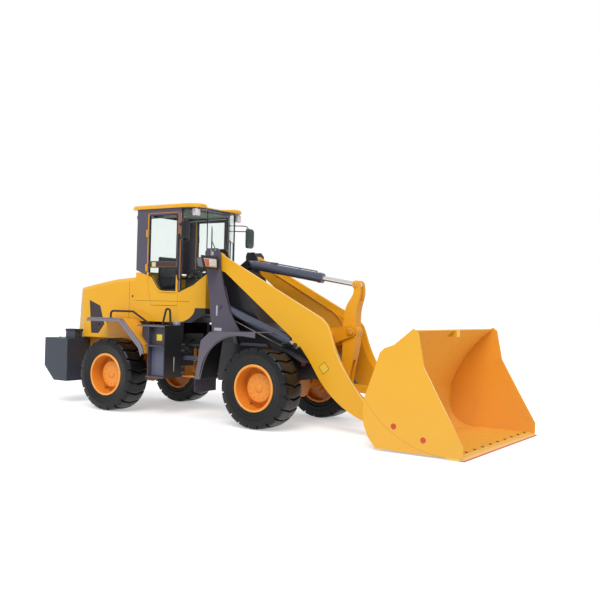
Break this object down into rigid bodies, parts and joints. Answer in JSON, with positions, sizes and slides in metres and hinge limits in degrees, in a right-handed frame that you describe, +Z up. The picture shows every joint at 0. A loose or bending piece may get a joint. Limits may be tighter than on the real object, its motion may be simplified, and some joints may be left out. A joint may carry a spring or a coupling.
{
  "type": "wheel loader",
  "caption": "Articulated wheel loader with a cab, rear engine hood, Z-bar boom linkage and a wide general-purpose bucket that lifts and tips.",
  "frame": {"origin": "on the ground, under the middle of the machine's overall length and width", "axes": "+X forward to the bucket, +Y to the operator's left, +Z up"},
  "size_m": [7.705, 2.58, 3.21],
  "materials": {
    "body_yellow": "semi-gloss amber paint",
    "trim_orange": "semi-gloss orange paint",
    "frame_grey": "satin violet-grey paint",
    "cylinder_grey": "semi-gloss blue-grey paint",
    "rod_chrome": "polished",
    "tyre_rubber": "dull black",
    "cab_glass": "clear",
    "weight_grey": "satin slate paint",
    "dark_metal": "dull black paint",
    "black_plastic": "matte",
    "lamp_white": "clear lens",
    "mirror_black": "matte"
  },
  "bodies": {
    "rear": {"rear_axle": "trim_orange", "rear_frame": "trim_orange", "counterweight": "weight_grey", "hood": "body_yellow", "hood_vents": "dark_metal", "radiator_grille": "dark_metal", "engine_block": "dark_metal", "transmission": "dark_metal", "battery_boxes": "frame_grey", "rear_fenders": "body_yellow", "fuel_tank": "frame_grey", "hydraulic_tank": "frame_grey", "handrails": "black_plastic", "cab_body": "body_yellow", "cab_frame": "frame_grey", "cab_roof": "body_yellow", "windscreen": "cab_glass", "rear_window": "cab_glass", "seat": "black_plastic", "steering_console": "black_plastic", "work_lamps": "lamp_white", "mirror_right": "mirror_black", "mirror_left": "mirror_black"},
    "front": {"front_frame": "frame_grey", "front_axle": "trim_orange", "front_fenders": "frame_grey", "mud_flaps": "black_plastic", "front_guards": "body_yellow", "headlamps": "frame_grey"},
    "door_right": {"door_right": "body_yellow", "door_right_glass": "cab_glass"},
    "door_left": {"door_left": "body_yellow", "door_left_glass": "cab_glass"},
    "boom": {"boom": "body_yellow"},
    "rocker": {"rocker": "body_yellow"},
    "bucket_link": {"bucket_link": "body_yellow"},
    "bucket": {"bucket": "body_yellow", "cutting_edge": "body_yellow"},
    "lift_barrels": {"lift_barrel": "cylinder_grey"},
    "lift_rods": {"lift_rod": "rod_chrome"},
    "tilt_barrel": {"tilt_barrel": "cylinder_grey"},
    "tilt_rod": {"tilt_rod": "rod_chrome"},
    "steer_barrel_right": {"steer_barrel_right": "cylinder_grey"},
    "steer_rod_right": {"steer_rod_right": "rod_chrome"},
    "steer_barrel_left": {"steer_barrel_left": "cylinder_grey"},
    "steer_rod_left": {"steer_rod_left": "rod_chrome"},
    "front_right_wheel": {"front_right_tyre": "tyre_rubber", "front_right_rim": "trim_orange"},
    "front_left_wheel": {"front_left_tyre": "tyre_rubber", "front_left_rim": "trim_orange"},
    "rear_right_wheel": {"rear_right_tyre": "tyre_rubber", "rear_right_rim": "trim_orange"},
    "rear_left_wheel": {"rear_left_tyre": "tyre_rubber", "rear_left_rim": "trim_orange"}
  },
  "joints": [
    {"name": "articulation", "type": "hinge", "parent": "rear", "child": "front", "pos_m": [-0.7425, 0, 0.8], "axis": [0, 0, 1], "range_deg": [-35, 35]},
    {"name": "front_right_wheel_spin", "type": "hinge", "parent": "front", "child": "front_right_wheel", "pos_m": [0.6875, -0.828, 0.562], "axis": [0, 1, 0], "continuous": true},
    {"name": "front_left_wheel_spin", "type": "hinge", "parent": "front", "child": "front_left_wheel", "pos_m": [0.6875, 0.828, 0.562], "axis": [0, 1, 0], "continuous": true},
    {"name": "rear_right_wheel_spin", "type": "hinge", "parent": "rear", "child": "rear_right_wheel", "pos_m": [-2.1725, -0.828, 0.562], "axis": [0, 1, 0], "continuous": true},
    {"name": "rear_left_wheel_spin", "type": "hinge", "parent": "rear", "child": "rear_left_wheel", "pos_m": [-2.1725, 0.828, 0.562], "axis": [0, 1, 0], "continuous": true},
    {"name": "door_right_hinge", "type": "hinge", "parent": "rear", "child": "door_right", "pos_m": [-1.7685, -0.597, 2.37], "axis": [0, 0, -1], "range_deg": [0, 80]},
    {"name": "door_left_hinge", "type": "hinge", "parent": "rear", "child": "door_left", "pos_m": [-1.7685, 0.597, 2.37], "axis": [0, 0, 1], "range_deg": [0, 80]},
    {"name": "boom_lift", "type": "hinge", "parent": "front", "child": "boom", "pos_m": [-0.4325, 0, 2.34], "axis": [0, -1, 0], "range_deg": [0, 58]},
    {"name": "bucket_tilt", "type": "hinge", "parent": "boom", "child": "bucket", "pos_m": [2.4075, 0, 0.27], "axis": [0, 1, 0], "range_deg": [-38, 88]},
    {"name": "rocker_turn", "type": "hinge", "parent": "boom", "child": "rocker", "pos_m": [1.6625, 0, 1.365], "axis": [0, -1, 0], "range_deg": [-13, 29]},
    {"name": "link_turn", "type": "hinge", "parent": "bucket", "child": "bucket_link", "pos_m": [2.3475, 0, 0.53], "axis": [0, -1, 0], "range_deg": [-37, 83]},
    {"name": "lift_barrel_turn", "type": "hinge", "parent": "front", "child": "lift_barrels", "pos_m": [-0.2975, 0, 1.655], "axis": [0, -1, 0], "range_deg": [0, 60]},
    {"name": "lift_rod_slide", "type": "slide", "parent": "lift_barrels", "child": "lift_rods", "axis": [0.9335, 0, -0.3585], "range_m": [0, 0.68]},
    {"name": "tilt_barrel_turn", "type": "hinge", "parent": "front", "child": "tilt_barrel", "pos_m": [-0.1925, 0, 2.31], "axis": [0, -1, 0], "range_deg": [0, 65]},
    {"name": "tilt_rod_slide", "type": "slide", "parent": "tilt_barrel", "child": "tilt_rod", "axis": [0.9878, 0, -0.1556], "range_m": [-0.32, 0.14]},
    {"name": "steer_barrel_right_turn", "type": "hinge", "parent": "rear", "child": "steer_barrel_right", "pos_m": [-1.3325, -0.455, 0.86], "axis": [0, 0, 1], "range_deg": [-6.5, 6.5]},
    {"name": "steer_rod_right_slide", "type": "slide", "parent": "steer_barrel_right", "child": "steer_rod_right", "axis": [0.9898, 0.1423, 0], "range_m": [-0.22, 0.22]},
    {"name": "steer_barrel_left_turn", "type": "hinge", "parent": "rear", "child": "steer_barrel_left", "pos_m": [-1.3325, 0.455, 0.86], "axis": [0, 0, 1], "range_deg": [-6.5, 6.5]},
    {"name": "steer_rod_left_slide", "type": "slide", "parent": "steer_barrel_left", "child": "steer_rod_left", "axis": [0.9898, -0.1423, 0], "range_m": [-0.22, 0.22]}
  ],
  "couplings": [
    {"joint": "rocker_turn", "follows": "bucket_tilt", "ratio": 0.31},
    {"joint": "link_turn", "follows": "bucket_tilt", "ratio": 0.93},
    {"joint": "lift_barrel_turn", "follows": "boom_lift", "ratio": 1.02},
    {"joint": "lift_rod_slide", "follows": "boom_lift", "m_per_rad": 0.668},
    {"joint": "tilt_barrel_turn", "follows": "boom_lift", "ratio": 1.1},
    {"joint": "tilt_rod_slide", "follows": "bucket_tilt", "m_per_rad": -0.2},
    {"joint": "steer_barrel_right_turn", "follows": "articulation", "ratio": 0.165},
    {"joint": "steer_rod_right_slide", "follows": "articulation", "m_per_rad": 0.353},
    {"joint": "steer_barrel_left_turn", "follows": "articulation", "ratio": 0.165},
    {"joint": "steer_rod_left_slide", "follows": "articulation", "m_per_rad": -0.353}
  ]
}
